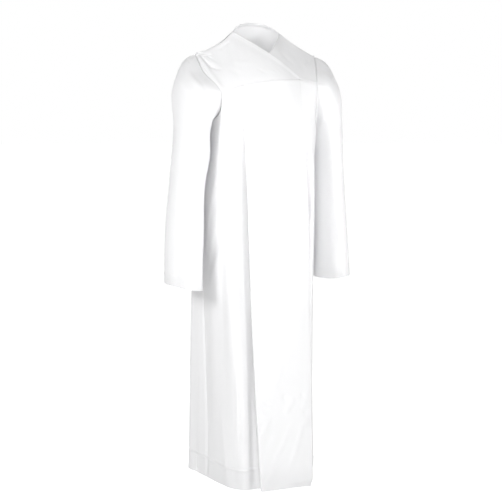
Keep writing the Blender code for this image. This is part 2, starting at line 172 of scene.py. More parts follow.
# side seam, lobe, dip, ridge, dip, ridge, centre back, then the other side
BACK = (
    ((-.171, .035), (-.168, .080), (-.146, .118), (-.112, .146), (-.075, .142), (-.038, .154),
     (.000, .146),
     (.041, .155), (.078, .143), (.110, .147), (.143, .116), (.165, .082), (.166, .035)),
    ((-.177, .050), (-.177, .098), (-.152, .132), (-.118, .162), (-.078, .154), (-.040, .172),
     (.001, .160),
     (.043, .173), (.081, .156), (.119, .164), (.147, .128), (.173, .096), (.173, .050)),
    ((-.177, .055), (-.183, .108), (-.157, .144), (-.124, .176), (-.080, .164), (-.042, .188),
     (.002, .172),
     (.046, .187), (.083, .166), (.124, .178), (.150, .133), (.180, .102), (.183, .055)),
    ((-.178, .060), (-.1870, .115), (-.160, .152), (-.130, .186), (-.083, .172), (-.044, .200),
     (.003, .180),
     (.048, .198), (.086, .174), (.129, .188), (.152, .139), (.184, .110), (.190, .060)),
)
# Front yokes between the shoulder seam and the yoke seam, as (x, z) from inside the armhole to
# the free edge: the share of the armhole's front that each row starts at, and its places
YOKE_RIGHT = (
    (0.35, ((-.142, -.070), (-.090, -.048), (-.029, -.028))),
    (0.68, ((-.114, -.113), (-.042, -.093), (.030, -.073))),
)
YOKE_LEFT = (
    (0.35, ((.128, -.055), (.074, -.043), (.020, -.0315))),
    (0.68, ((.112, -.098), (.040, -.090), (-.033, -.082))),
)
YOKE_SHOULDER = (0.148, 0.112)       # places between the shoulder point and the neck point
YOKE_SEAM_SHARES = (0, .30, .64, 1)  # places along the yoke seam, as shares of its length
# Places of each side front along the yoke seam, from the armhole to under the box pleat
SEAM_RIGHT = (-.142, -.130, -.104, -.072)
SEAM_LEFT = (.128, .116, .098, .066)
# Places of the box pleat along the yoke seam, between its pressed folds
PLEAT_PRESS = .0022
PLEAT_PLACES = (-.055, -.005, .045)
# Half of the back yoke below its top edge: inner shoulder, below the neck point, neck side,
# centre; then the place round the armhole where each row starts
YOKE_BACK_UPPER = ((.128, .050, -.050), (.084, .050, -.022), (.044, .062, -.002), (0, .068, .006))
YOKE_BACK_LOWER = ((.120, .088, -.100), (.082, .090, -.080), (.042, .094, -.066), (0, .096, -.062))
YOKE_BACK_SEAM = ((.118, .113, -.152), (.080, .118, -.149), (.040, .120, -.147), (0, .121, -.146))
YOKE_BACK_ROWS = ((7.35, YOKE_BACK_UPPER), (6.70, YOKE_BACK_LOWER), (6.0, YOKE_BACK_SEAM))
BACK_SHOULDER_RIGHT = (-.187, -.132, NECK_RIGHT_X)
BACK_SHOULDER_LEFT = (NECK_LEFT_X, .128, .187)
# The back of the neck, from the right side point to the left one
NECK_BACK = ((-.052, .032, .036), (-.008, .045, .044), (.038, .034, .037))

# Creases by piece. A stop of a crease is its place across the cloth, its z, and the crease's
# height and half width there in millimetres; troughs are negative
CREASES = {
    "front_right": (
        ((.92, -.70, -1.0, 4), (.94, -.80, -3.0, 5), (.95, -1.01, -2.6, 6), (1.05, -1.16, -3.2, 8),
         (.92, -1.29, -3.6, 8)),   # beside the side seam
        ((4.0, -.40, -1.2, 8), (2.9, -.52, -4.5, 15), (2.2, -.61, -5.0, 19), (1.5, -.70, -2.0, 18)),
        ((2.2, -.40, 2.0, 12), (1.3, -.60, 2.6, 13), (.9, -.72, .5, 14)),
        ((4.1, -.33, 0, 6), (4.1, -.39, 2.2, 6), (4.0, -.47, 2.4, 6), (3.95, -.56, 0, 8)),
        ((4.3, -.93, 0, 3), (4.2, -1.04, 1.7, 3), (4.12, -1.12, 1.9, 3), (4.0, -1.19, 0, 4)),
        ((4.6, -.95, 0, 4), (4.5, -1.06, -1.5, 4), (4.45, -1.14, -1.3, 5), (4.3, -1.22, 0, 5)),
        ((3.9, -.97, 0, 4), (3.85, -1.08, -1.3, 5), (3.75, -1.16, -1.8, 8), (3.6, -1.28, -2.4, 10)),
        ((2.7, -.91, 0, 5), (2.9, -.95, -1.2, 5), (3.35, -.98, 0, 5)),
        ((2.4, -1.06, 0, 12), (2.6, -1.17, 2.4, 14), (2.7, -1.28, 2.8, 15)),
        ((4.7, -.166, 0, 3), (3.9, -.178, -2.4, 3), (2.2, -.200, -2.0, 3), (1.6, -.215, 0, 3)),
        ((5.4, -.22, 0, 6), (5.5, -.34, -1.4, 7), (5.6, -.50, 0, 8)),
        ((5.85, -.145, 1.2, 3), (5.88, -.20, 1.6, 3.5), (5.95, -.32, 1.2, 4), (6.0, -.50, 0, 5)),
        ((6.3, -.70, 0, 6), (6.3, -.90, -2.0, 8), (6.2, -1.10, -2.8, 9), (6.2, -1.28, -3.0, 10)),
    ),
    "front_left": (
        ((3.5, -.15, 0, 5), (3.2, -.20, -1.6, 5), (2.6, -.29, 0, 7)),
        ((5.2, -.20, 0, 6), (4.9, -.42, -1.5, 8), (4.6, -.62, 0, 9)),
        ((2.4, -.34, 0, 10), (2.2, -.56, -3.4, 14), (1.6, -.76, 0, 15)),
        ((1.1, -.62, 0, 9), (1.2, -.86, -2.6, 11), (1.1, -1.10, -3.0, 12), (1.0, -1.28, -2.2, 12)),
        ((3.3, -.80, 0, 7), (3.1, -1.00, 2.0, 9), (3.0, -1.26, 2.8, 11)),
    ),
    "front_panel": (
        ((1.20, -.140, -2.2, 4), (1.18, -.20, -2.4, 4), (1.15, -.27, -1.2, 4), (1.1, -.33, 0, 4)),
        ((2.75, -.15, -.8, 9), (2.2, -.27, -2.4, 12), (1.8, -.41, -1.2, 13), (1.7, -.50, 0, 13)),
        ((2.1, -.13, .4, 8), (1.7, -.24, 1.4, 10), (1.4, -.36, 0, 10)),
        ((2.95, -.33, 0, 12), (2.5, -.47, -2.2, 13), (2.2, -.60, -1.6, 14), (2.0, -.68, 0, 14)),
        ((2.6, -.73, 0, 12), (2.1, -.83, -2.6, 13), (1.8, -.91, -2.8, 13), (1.4, -1.01, -1.4, 12)),
        ((3.3, -.84, 0, 12), (2.7, -.95, 1.8, 13), (2.2, -1.03, 0, 12)),
        ((1.55, -1.032, 0, 8), (1.85, -1.042, -2.4, 8), (2.15, -1.048, 0, 8)),
        ((1.75, -1.056, 0, 7), (2.05, -1.058, 1.8, 7), (2.30, -1.066, 0, 7)),
        ((1.15, -1.060, -2.0, 8), (1.30, -1.082, -3.2, 9), (1.50, -1.098, 0, 8)),
        ((2.15, -1.078, 0, 7), (1.80, -1.104, 2.6, 7), (1.30, -1.136, 2.4, 7), (1.1, -1.15, 0, 7)),
        ((1.10, -1.112, -2.8, 7), (1.30, -1.124, -2.4, 7), (1.50, -1.128, 0, 7)),
        ((2.3, -1.106, 0, 11), (1.9, -1.148, -2.7, 11), (1.3, -1.184, 0, 11)),
        ((2.95, -1.010, 0, 9), (3.05, -1.030, -3.2, 10), (3.15, -1.052, 0, 9)),
        ((2.95, -1.082, 0, 8), (3.15, -1.068, 2.6, 8), (3.45, -1.046, 2.2, 8), (3.6, -1.03, 0, 8)),
        ((3.9, -1.040, 0, 8), (4.2, -1.028, -2.0, 8), (4.5, -1.022, 0, 8)),
        ((4.1, -1.070, 0, 8), (4.35, -1.052, 2.4, 8), (4.65, -1.030, 0, 8)),
        ((4.15, -1.094, 0, 8), (4.4, -1.080, -2.6, 8), (4.75, -1.066, 0, 8)),
        ((4.2, -1.124, 0, 7), (4.5, -1.104, 2.2, 7), (4.8, -1.080, 0, 7)),
        ((1.7, -1.245, 0, 7), (2.2, -1.215, 1.5, 7), (2.9, -1.160, 2.0, 8), (3.6, -1.090, 0, 8)),
        ((3.0, -1.260, 0, 8), (3.6, -1.190, 1.9, 9), (4.1, -1.120, 1.2, 8), (4.4, -1.08, 0, 8)),
        ((1.2, -1.29, 1.4, 8), (2.0, -1.25, 1.6, 8), (3.0, -1.20, 0, 9)),
        ((2.7, -1.310, -2, 10), (3.6, -1.306, -7, 12), (4.9, -1.300, -9, 15)),
    ),
    "back": (
        ((4.2, -.17, 0, 8), (4.4, -.36, -4.1, 12), (4.6, -.60, -4.9, 15), (4.7, -.85, 0, 16)),
        ((7.2, -.16, 0, 8), (7.0, -.34, 3, 11), (6.9, -.62, 4.1, 13), (7.1, -.92, 0, 14)),
        ((9.6, -.17, 0, 8), (9.3, -.42, -3.5, 12), (9.2, -.74, -4.6, 15), (9.3, -1.0, 0, 16)),
        ((11.6, -.18, 0, 8), (11.3, -.35, 3.2, 11), (11.2, -.58, 0, 14)),
        ((6.2, -.66, 0, 12), (6.0, -.92, -4.6, 15), (6.1, -1.20, -5.9, 16), (6.1, -1.29, -5.7, 16)),
        ((10.2, -.80, 0, 12), (10.3, -1.05, 4.1, 13), (10.4, -1.29, 4.9, 14)),
        ((2.9, -.30, 0, 10), (2.4, -.50, -4.1, 13), (1.9, -.72, 0, 15)),
        ((12, -.32, 0, 10), (12, -.54, -3.8, 13), (12, -.74, 0, 15)),
        ((1.5, -.82, 0, 10), (1.4, -1.05, -3.8, 12), (1.5, -1.28, -4.3, 13)),
        ((12, -.88, 0, 10), (12, -1.08, -3.2, 12), (12, -1.28, -4.1, 13)),
    ),
    "sleeve_right": (
        ((.02, -.052, -.6, 5), (.25, -.066, -2.4, 4), (.55, -.078, 0, 4)),
        ((.7, -.100, 0, 8), (1.2, -.125, 3.4, 10), (1.6, -.145, 4.0, 11), (2.0, -.175, 1.5, 10)),
        ((1.9, -.17, 0, 9), (1.6, -.24, -1.8, 12), (1.2, -.33, 0, 14)),
        ((1.35, -.575, 0, 8), (1.05, -.62, -2.4, 10), (.9, -.68, -2.8, 10), (.8, -.71, -2.0, 10)),
        ((1.75, -.60, 0, 9), (1.5, -.66, 2.0, 9), (1.45, -.71, 2.0, 9)),
        ((7.2, -.29, 0, 10), (6.7, -.36, -3.2, 10), (6.2, -.40, 0, 9)),
        ((7.4, -.37, 0, 9), (6.8, -.41, 2.2, 9), (6.1, -.44, 0, 9)),
        ((7.3, -.43, 0, 10), (6.8, -.46, -2.6, 9), (6.3, -.47, 0, 9)),
        ((5.2, -.27, 0, 8), (5.0, -.34, -2.6, 10), (4.8, -.42, 0, 10)),
        ((6.6, -.52, 0, 11), (6.9, -.62, -2.2, 12), (7.1, -.70, -2.2, 12)),
    ),
    "sleeve_left": (
        ((1.0, -.085, 0, 5), (1.4, -.120, 1.6, 6), (1.9, -.20, 0, 7)),
        ((1.2, -.16, 0, 9), (1.5, -.28, -1.6, 12), (1.9, -.38, 0, 13)),
        ((2.6, -.50, 0, 9), (2.4, -.60, -2.0, 10), (2.3, -.69, -2.4, 10)),
        ((7.2, -.28, 0, 10), (6.6, -.34, -3.2, 10), (6.1, -.40, 0, 9)),
        ((7.4, -.40, 0, 9), (6.8, -.43, -2.6, 9), (6.2, -.45, 0, 9)),
        ((5.2, -.26, 0, 8), (5.0, -.35, -2.4, 10), (4.9, -.44, 0, 10)),
        ((.6, -.52, 0, 11), (.4, -.61, -2.0, 12), (.3, -.69, -2.0, 12)),
    ),
    "yoke_back": (
        ((1.9, -.050, 0, 5), (1.6, -.080, -1.8, 7), (1.2, -.115, 0, 8)),
        ((6.1, -.052, 0, 5), (6.4, -.080, -1.7, 7), (6.8, -.118, 0, 8)),
        ((3.2, -.010, 0, 6), (3.4, -.060, -1.2, 9), (3.5, -.130, 0, 10)),
        ((4.7, -.005, 0, 6), (4.6, -.060, 1.2, 9), (4.5, -.130, 0, 10)),
    ),
}
# Creases of the front yokes: a stop is its x and z, and the crease's height and half width
YOKE_CREASES = {
    "yoke_right": (
        ((-.184, -.052, 1.5, 4), (-.178, -.075, 3.2, 5), (-.170, -.100, 2.6, 6),
         (-.163, -.118, 2.2, 8), (-.155, -.140, 1.5, 8)),   # the tuck by the armhole
        ((-.179, -.053, -2.0, 3), (-.171, -.069, -3.2, 4.5), (-.162, -.085, -3.0, 5.5),
         (-.150, -.091, -2.0, 5), (-.134, -.093, 0, 5)),
        ((-.164, -.062, 0, 4), (-.152, -.073, 1.0, 5), (-.140, -.082, 0, 5)),
        ((-.174, -.053, -2.4, 3), (-.162, -.052, -2.0, 4), (-.148, -.050, 0, 4)),
        ((-.160, -.056, -1.6, 3), (-.149, -.064, 0, 3)),
        ((-.100, -.018, -1.2, 6), (-.120, -.032, -1.4, 8), (-.140, -.040, 0, 8)),
        ((-.050, -.090, 0, 4), (-.035, -.101, -.9, 4), (-.015, -.110, 0, 4)),
        ((-.022, -.093, 0, 4), (-.004, -.101, 1.1, 4), (.016, -.112, 0, 4)),
        ((.000, -.090, 0, 4), (.014, -.102, 1.0, 4), (.022, -.113, 0, 4)),
        ((-.120, -.090, 0, 8), (-.100, -.105, -1.2, 10), (-.075, -.118, 0, 9)),
        ((-.105, -.070, 0, 7), (-.085, -.076, .8, 7), (-.060, -.076, 0, 7)),
    ),
    "yoke_left": (
        ((.165, -.056, 0, 5), (.150, -.066, -1.8, 6), (.128, -.082, 0, 7)),
        ((.176, -.070, .5, 4), (.166, -.090, 2.0, 5), (.157, -.115, 1.0, 6)),
        ((.040, -.040, 0, 7), (.062, -.060, -.9, 9), (.090, -.082, 0, 9)),
    ),
}
# Grooves along the seams: depth and half width
SEAM_GROOVE = (.0027, .0026)         # below the yoke seam
YOKE_GROOVE = (.0003, .0020)         # above it
SIDE_GROOVE = (.0012, .0026)         # side and shoulder seams
ARMHOLE_GROOVE = (.0020, .0024)
GROOVE_FADE = ((-.135, -.095), (.22, 1.0))   # heights, and shares of an armhole's groove there
SEAM_EASE = .008                     # creases fade out this far from a seam
# The line of a hem or cuff: the ridge below it, the trough above it, their half width, and
# their places from the line in half widths; a share of it for each piece
HEM_LINE = {"front_right": 1.0, "front_left": 1.0, "back": 1.0,
            "sleeve_right": 0.35, "sleeve_left": 0.35}
HEM_RIDGE, HEM_TROUGH, HEM_LINE_WIDTH = .0019, .0013, .0032
HEM_RIDGE_PLACE, HEM_TROUGH_PLACE = -0.6, 0.9
# The line pressed inside a free yoke edge: its depth by piece, its place and half width
EDGE_LINE = {"yoke_right": .0005, "yoke_left": .0011}
EDGE_LINE_PLACE, EDGE_LINE_WIDTH = .0035, .0018
WRAP_ROLL, WRAP_ROLL_WIDTH = .0024, .0085   # the free edge of the right yoke curls up
# Faint unevenness, large and small: its length along x, y and z, and its height
RIPPLE_SIZE, RIPPLE_HEIGHT = (.055, .055, .30), .0011
CRUMPLE_SIZE, CRUMPLE_HEIGHT = (.020, .020, .045), .00022
CRUMPLE_SEED = 7.3        # keeps the small unevenness apart from the large one
SEEDS = {"front_panel": 1.1, "front_right": 2.7, "front_left": 3.9, "back": 5.2,
         "sleeve_right": -6.4, "sleeve_left": 6.4, "yoke_right": 8.1, "yoke_left": 9.3,
         "yoke_back": 10.6}   # so that no piece's unevenness is like another's

CLOTH = 0.0005            # thickness of the cloth
# What is turned under: how deep it is, and how far inside its piece it lies
SEAM_ALLOWANCE, SEAM_TURN = 0.011, 0.0011
HEM_DEPTH, HEM_TURN = 0.060, 0.0020
CUFF_DEPTH = 0.030        # a cuff is turned as the hem is
FACING_DEPTH, FACING_TURN = 0.034, 0.0015
NECK_DEPTH, NECK_TURN = 0.009, 0.0008
ROLL_STEPS, TURN_STEPS = 5, 4        # facets round a turned edge, and along the cloth behind it
TRIM, PANEL_TRIM, YOKE_TRIM = 5, 8, 3   # columns without turned cloth at the ends of an edge
# The box pleat's folds are rounded: over this many columns, so often, by this share at the top
FOLD_REACH, FOLD_PASSES, FOLD_TOP = 3.0, 16, 0.25

# Lines of stitches
STITCH = 0.0029           # length of a stitch, and from the start of one to the next
STITCH_PITCH = 0.0038
STITCH_GAP = 0.004        # where a line of stitches starts, in from the piece's edge
THREAD_WIDTH = 0.00045
THREAD_CROWN = 0.6        # height of a stitch's middle, in widths of the thread
THREAD_SINK = 0.00015     # how far its ends sink into the cloth
SEWN = []                 # each noted line of stitches: its points and the cloth's normals there


def spline(points, steps, closed=False, corners=()):
    """A smooth curve through the points, cut into steps a span, or into a number for each span."""
    points = np.asarray(points, float)
    count = len(points)
    spans = count if closed else count - 1
    steps = [steps] * spans if isinstance(steps, int) else steps
    after = np.roll(points, -1, 0)
    chord = np.maximum(np.linalg.norm(after - points, axis=1), TINY)
    slope = (after - points) / chord[:, None]

    def tangent(index, span):
        before, behind = (index - 1) % count, index % count
        if not closed and (index in (0, count - 1) or index in corners):
            return slope[span]
        weight = chord[before] + chord[behind]
        return (slope[before] * chord[behind] + slope[behind] * chord[before]) / weight

    curve = []
    for span in range(spans):
        start, end = points[span], points[(span + 1) % count]
        leave = tangent(span, span) * chord[span]
        arrive = tangent(span + 1, span) * chord[span]
        t = np.linspace(0, 1, steps[span], endpoint=False)[:, None]
        curve.append(
            start * (2 * t**3 - 3 * t**2 + 1) + leave * (t**3 - 2 * t**2 + t)
            + end * (3 * t**2 - 2 * t**3) + arrive * (t**3 - t**2))
    if not closed:
        curve.append(points[-1:])
    return np.concatenate(curve)


SHOULDER_CURVE = spline(SHOULDER_LINE, CURVE_STEPS).T
SEAM_CURVE = spline(SEAM_LINE, CURVE_STEPS).T
ARMHOLE_CURVE = {side: spline(ARMHOLE[side], CURVE_STEPS, closed=True) for side in (RIGHT, LEFT)}


def between(stops, steps):
    """Evenly spaced numbers from each stop to the next one."""
    runs = [np.linspace(start, end, count, endpoint=False)
            for start, end, count in zip(stops, stops[1:], steps)]
    return np.append(np.concatenate(runs), stops[-1])


def loft(rows, down):
    """A grid of points, smooth from each row to the next."""
    columns = [spline(column, down) for column in np.swapaxes(np.array(rows), 0, 1)]
    return np.swapaxes(np.array(columns), 0, 1)


def at(place, places, points):
    """The point at a place along a line of points, whose own places rise from first to last."""
    return np.array([np.interp(place, places, points[:, axis]) for axis in range(points.shape[1])])


def smooth_step(t):
    t = np.clip(t, 0.0, 1.0)
    return t * t * (3 - 2 * t)


def unit(vectors):
    return vectors / np.maximum(np.linalg.norm(vectors, axis=-1, keepdims=True), TINY)


def ridge_z(x):
    return np.interp(x, *SHOULDER_CURVE)


def ridge_y(x):
    return SHOULDER_BACK * (np.abs(x) / SHOULDER_X) ** SHOULDER_BEND


def chest_y(x, z):
    """The chest's surface, falling forward and down from the shoulder line."""
    out = (x / SHOULDER_X) ** 2
    drop = np.maximum(ridge_z(x) - z, 0.0)
    round_drop = np.sqrt(drop * (drop + 2 * RIDGE_ROUND))
    reach = np.minimum(round_drop / (CHEST_DROP + (OUTER_DROP - CHEST_DROP) * out), 1.0)
    depth = CHEST_DEPTH + (OUTER_DEPTH - CHEST_DEPTH) * out
    bend = CHEST_BEND + (OUTER_BEND - CHEST_BEND) * out
    return ridge_y(x) - depth * np.sin(math.pi / 2 * reach**bend)


def seam_z(x):
    return np.interp(x, *SEAM_CURVE)


def on_seam(x, lift=0.0):
    """A point just under the yoke seam."""
    z = seam_z(x)
    return (x, chest_y(x, z) - lift, z - SEAM)


def armhole(place, side):
    """A point of one side's armhole, at a place counted round it."""
    curve = ARMHOLE_CURVE[side]
    index = (place * CURVE_STEPS) % len(curve)
    low = int(index)
    share = index - low
    x, y, z = curve[low] * (1 - share) + curve[(low + 1) % len(curve)] * share
    if 0 <= place <= FRONT_NOTCH:
        y = chest_y(x, z)
    return np.array((side * x, y, z))


def armhole_edge(stops, steps, side):
    return [armhole(place, side) - (0, 0, SEAM) for place in between(stops, steps)]


def crossing_lift(x):
    """The right yoke rises onto the left one before it crosses over it."""
    return LAYER * smooth_step((x - RISE_START) / RISE_RUN)


# The woven pieces as grids of points: rows run down the cloth, columns across it

def yoke_grid(side, neck_x, seam_end, table, across, down):
    """A front yoke: from the shoulder seam to the yoke seam, from the armhole to its free edge."""
    stops = [side * SHOULDER_X] + [side * x for x in YOKE_SHOULDER] + [neck_x]
    rows = [[(x, ridge_z(x)) for x in between(stops, across)]]
    for share, inner in table:
        edge = armhole(FRONT_NOTCH * share, side)
        rows.append(spline([(edge[0], edge[2])] + list(inner), across))
    start = armhole(FRONT_NOTCH, side)[0]
    stops = [start + (seam_end - start) * share for share in YOKE_SEAM_SHARES]
    rows.append([(x, seam_z(x)) for x in between(stops, across)])
    x, z = np.moveaxis(loft(rows, down), 2, 0)
    lift = crossing_lift(x) if side == RIGHT else 0.0
    grid = np.stack((x, chest_y(x, z) - lift, z), 2)
    edge = np.array([armhole(FRONT_NOTCH * share, side) for share in np.linspace(0, 1, len(grid))])
    ease = (1 - smooth_step(np.arange(grid.shape[1]) / across[0]))[None, :, None]
    return grid + (edge - grid[:, 0])[:, None] * ease


def mirrored(half):
    """A whole row from its left half, whose last point lies on the centre line."""
    return [np.array(point) * (-1, 1, 1) for point in half] + list(half[-2::-1])


def across_back(place, half, steps):
    """A row of the back yoke, from armhole to armhole."""
    return spline([armhole(place, RIGHT)] + mirrored(half) + [armhole(place, LEFT)], steps)


def yoke_back_grid(step, down):
    def behind_shoulder(stops):
        return [(x, ridge_y(x) + SEAM, ridge_z(x)) for x in between(stops, [step] * 2)]

    right = behind_shoulder(BACK_SHOULDER_RIGHT)
    left = behind_shoulder(BACK_SHOULDER_LEFT)
    neck = list(spline((right[-1],) + NECK_BACK + (left[0],), step))
    rows = [right + neck[1:-1] + left]
    rows += [across_back(place, half, step) for place, half in YOKE_BACK_ROWS]
    return loft(rows, down)


def skirt_rows(table, across, corners=()):
    return [spline([(x, y, z) for x, y in row], across, corners=corners)
            for row, z in zip(table, SKIRT_LEVELS)]


def side_front_grid(side, sections, seam_places, across, down):
    """A side front, from the side seam round to its end under the box pleat."""
    top = armhole_edge((UNDERARM,) + FRONT_ARMHOLE + (FRONT_NOTCH,), across[:3], side)
    first = armhole(FRONT_NOTCH, side)[0]
    seam = between((first,) + seam_places, across[3:])[1:]
    top += [on_seam(x, seam_lift(x, side)) for x in seam]
    return loft([top] + skirt_rows(sections, across), down)


def seam_lift(x, side):
    """The right side front stands out with the yoke above it, up to the box pleat's fold."""
    if side == LEFT:
        return 0.0
    return crossing_lift(x) * (1 - smooth_step((x - PLEAT_RIGHT_X - FALL_START) / FALL_RUN))


def front_panel_grid(across, down):
    """The box pleat's face, pressed flat at the yoke seam and turned back along both folds."""
    right = (PLEAT_RIGHT_X, PLEAT_RIGHT_X + PLEAT_PRESS)
    left = (PLEAT_LEFT_X - PLEAT_PRESS, PLEAT_LEFT_X)
    top = [on_seam(x, LAYER) for x in between(right + PLEAT_PLACES + left, across)]
    return loft([top] + skirt_rows(FRONT_PANEL, across, corners=PLEAT_FOLDS), down)


def back_grid(step, down):
    """The back below its yoke, from side seam to side seam."""
    across = [point - (0, 0, SEAM) for point in across_back(BACK_NOTCH, YOKE_BACK_SEAM, step)]
    right = armhole_edge((UNDERARM, LOW_BACK, BACK_NOTCH), [step] * 2, RIGHT)
    left = armhole_edge((BACK_NOTCH, LOW_BACK, UNDERARM), [step] * 2, LEFT)
    return loft([right + across[1:-1] + left] + skirt_rows(BACK, step), down)


def sleeve_grid(side, step, down):
    """An open tube from the armhole to the cuff; its last column repeats the first."""
    places = len(ARMHOLE[side]) * step
    head = spline(SLEEVE_HEAD[side], step, closed=True)
    start = np.array([armhole(place / step, side) for place in range(places)])
    start[:, 0] *= side
    away = head - start
    away[:, 0] = np.maximum(away[:, 0], SLEEVE_OUT)
    rows = [start + unit(away) * SLEEVE_SET, head]
    turn = np.linspace(0, 2 * math.pi, places, endpoint=False)
    for x, y, half_width, half_depth, z_outer, z_inner in SLEEVE_RINGS[side]:
        middle, slant = (z_outer + z_inner) / 2, (z_outer - z_inner) / 2
        rows.append(np.stack((x + np.cos(turn) * half_width, y - np.sin(turn) * half_depth,
                              middle + slant * np.cos(turn)), 1))
    grid = loft(rows, down)
    grid[:, :, 0] *= side
    return np.concatenate((grid, grid[:, :1]), 1)


# Folds, turned edges and the mesh of a piece

def normals_of(grid, closed=False):
    """The grid's normals, pointing out of the garment."""
    down = np.gradient(grid, axis=0)
    if closed:
        ring = grid[:, :-1]
        across = np.roll(ring, -1, 1) - np.roll(ring, 1, 1)
        across = np.concatenate((across, across[:, :1]), 1)
        outward = grid - ring.mean(1, keepdims=True)
    else:
        across = np.gradient(grid, axis=1)
        outward = grid * (1, 1, 0)
    normals = unit(np.cross(down, across))
    return normals if (normals * outward).sum() > 0 else -normals


def spot(grid, steps, place, z):
    """The point of a grid at a place across it and a height."""
    column = int(round(np.interp(place, range(len(steps) + 1), np.cumsum([0] + list(steps)))))
    line = grid[:, min(column, grid.shape[1] - 1)]
    return at(-z, -line[:, 2], line)


def crease_rise(grid, path):
    """Height of one crease over the grid. Its path is (point, height, half width) for each stop."""
    points = np.array([stop[0] for stop in path])
    shape = np.array([stop[1:] for stop in path])
    best = np.full(grid.shape[:2], np.inf)
    rise = np.zeros(grid.shape[:2])
    for start, end, shape_start, shape_end in zip(points, points[1:], shape, shape[1:]):
        run = end - start
        t = np.clip(((grid - start) @ run) / max(run @ run, TINY), 0, 1)
        distance = np.linalg.norm(grid - start - t[..., None] * run, axis=2)
        height, width = (shape_start + (shape_end - shape_start) * t[..., None]).transpose(2, 0, 1)
        here = height * np.exp(-(distance / width) ** 2)
        closer = distance < best
        best = np.where(closer, distance, best)
        rise = np.where(closer, here, rise)
    return rise


def ripple(grid, size, height, seed):
    """Faint unevenness of hanging cloth. size is its length along x, y and z."""
    scaled = grid / size + seed
    flat = [noise.noise(Vector(point)) for point in scaled.reshape(-1, 3)]
    return height * np.array(flat).reshape(grid.shape[:2])


def run_from(grid, edge):
    """Distance of every point of a grid from one of its edges, along the cloth."""
    run = lengths_along(facing(grid, edge))
    if edge in ("top", "bottom"):
        return facing(run, edge)
    return run.swapaxes(0, 1) if edge == "start" else run.swapaxes(0, 1)[:, ::-1]


def dress(name, grid, steps, seams, closed=False):
    """The grid with its creases, faint unevenness, seam grooves and the line of its hem.
    steps is the number of facets between two places across it, or a number for each."""
    if isinstance(steps, int):
        steps = [steps] * (grid.shape[1] // steps)
    rise = ripple(grid, RIPPLE_SIZE, RIPPLE_HEIGHT, SEEDS[name])
    rise += ripple(grid, CRUMPLE_SIZE, CRUMPLE_HEIGHT, SEEDS[name] + CRUMPLE_SEED)
    for path in CREASES.get(name, ()):
        rise += crease_rise(grid, [(spot(grid, steps, place, z), height / 1000, width / 1000)
                                   for place, z, height, width in path])
    for path in YOKE_CREASES.get(name, ()):
        rise += crease_rise(grid, [((x, chest_y(x, z), z), height / 1000, width / 1000)
                                   for x, z, height, width in path])
    if name in EDGE_LINE:
        off = (run_from(grid, "end") - EDGE_LINE_PLACE) / EDGE_LINE_WIDTH
        rise -= EDGE_LINE[name] * np.exp(-off ** 2)
    if name == "yoke_right":
        rise += WRAP_ROLL * np.exp(-(run_from(grid, "end") / WRAP_ROLL_WIDTH) ** 2)
    for edge, _ in seams:
        rise *= smooth_step(run_from(grid, edge) / SEAM_EASE)
    for edge, (depth, width) in seams:
        groove = depth * np.exp(-(run_from(grid, edge) / width) ** 2)
        if (depth, width) == ARMHOLE_GROOVE:
            groove *= np.interp(grid[..., 2], *GROOVE_FADE)
        rise -= groove
    if name in HEM_LINE:
        hem = CUFF_DEPTH if name.startswith("sleeve") else HEM_DEPTH
        up = (run_from(grid, "bottom") - hem) / HEM_LINE_WIDTH
        line = HEM_RIDGE * np.exp(-(up - HEM_RIDGE_PLACE) ** 2)
        line -= HEM_TROUGH * np.exp(-(up - HEM_TROUGH_PLACE) ** 2)
        rise += HEM_LINE[name] * line
    return grid + normals_of(grid, closed) * rise[..., None]


def sew(grid, up, closed=False):
    """Notes a line of stitches across a dressed grid, this far up from its bottom edge."""
    outs = inset(grid, normals_of(grid, closed), "bottom", up)
    SEWN.append((inset(grid, grid, "bottom", up), unit(outs)))


def stitches(material):
    """Every line of stitches as one mesh: each stitch is a low, four-sided ridge."""
    verts, faces = [], []
    for line, outs in SEWN:
        length = lengths_along(line[:, None])[:, 0]
        for start in np.arange(STITCH_GAP, length[-1] - STITCH_PITCH, STITCH_PITCH):
            places = (start, start + STITCH / 2, start + STITCH)
            first, middle, last = (at(place, length, line) for place in places)
            out = at(places[1], length, outs)
            side = np.cross(out, last - first)
            side *= THREAD_WIDTH / 2 / np.linalg.norm(side)
            corner = len(verts)
            verts += [first - out * THREAD_SINK, last - out * THREAD_SINK, middle + side,
                      middle - side, middle + out * THREAD_WIDTH * THREAD_CROWN]
            faces += [(corner + a, corner + b, corner + c)
                      for a, b, c in ((0, 2, 4), (4, 2, 1), (0, 4, 3), (3, 4, 1))]
    mesh = bpy.data.meshes.new("stitches")
    mesh.from_pydata([tuple(vert) for vert in verts], [], faces)
    mesh.shade_smooth()
    thread = new_object("stitches", mesh)
    mesh.materials.append(material)
    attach(thread, "root")


def soften_folds(grid, columns):
    """Rounds the folds at these columns; they open a little more towards the hem."""
    index = np.arange(grid.shape[1])
    weight = sum(np.exp(-((index - column) / FOLD_REACH) ** 2) for column in columns)
    weight = np.clip(weight, 0, 1) * np.linspace(FOLD_TOP, 1, len(grid))[:, None]
    for _ in range(FOLD_PASSES):
        middle = (grid[:, :-2] + grid[:, 2:]) / 2
        grid[:, 1:-1] += (middle - grid[:, 1:-1]) * weight[:, 1:-1, None]
    return grid


def lengths_along(lines):
    """Distance run along the first axis of a grid of points."""
    steps = np.linalg.norm(np.diff(lines, axis=0), axis=2)
    return np.concatenate((np.zeros((1, lines.shape[1])), np.cumsum(steps, 0)))


def facing(array, edge):
    """A view of a grid whose first row is the given edge and whose rows run inwards."""
    views = {"top": array, "bottom": array[::-1],
             "start": array.swapaxes(0, 1), "end": array[:, ::-1].swapaxes(0, 1)}
    return views[edge]


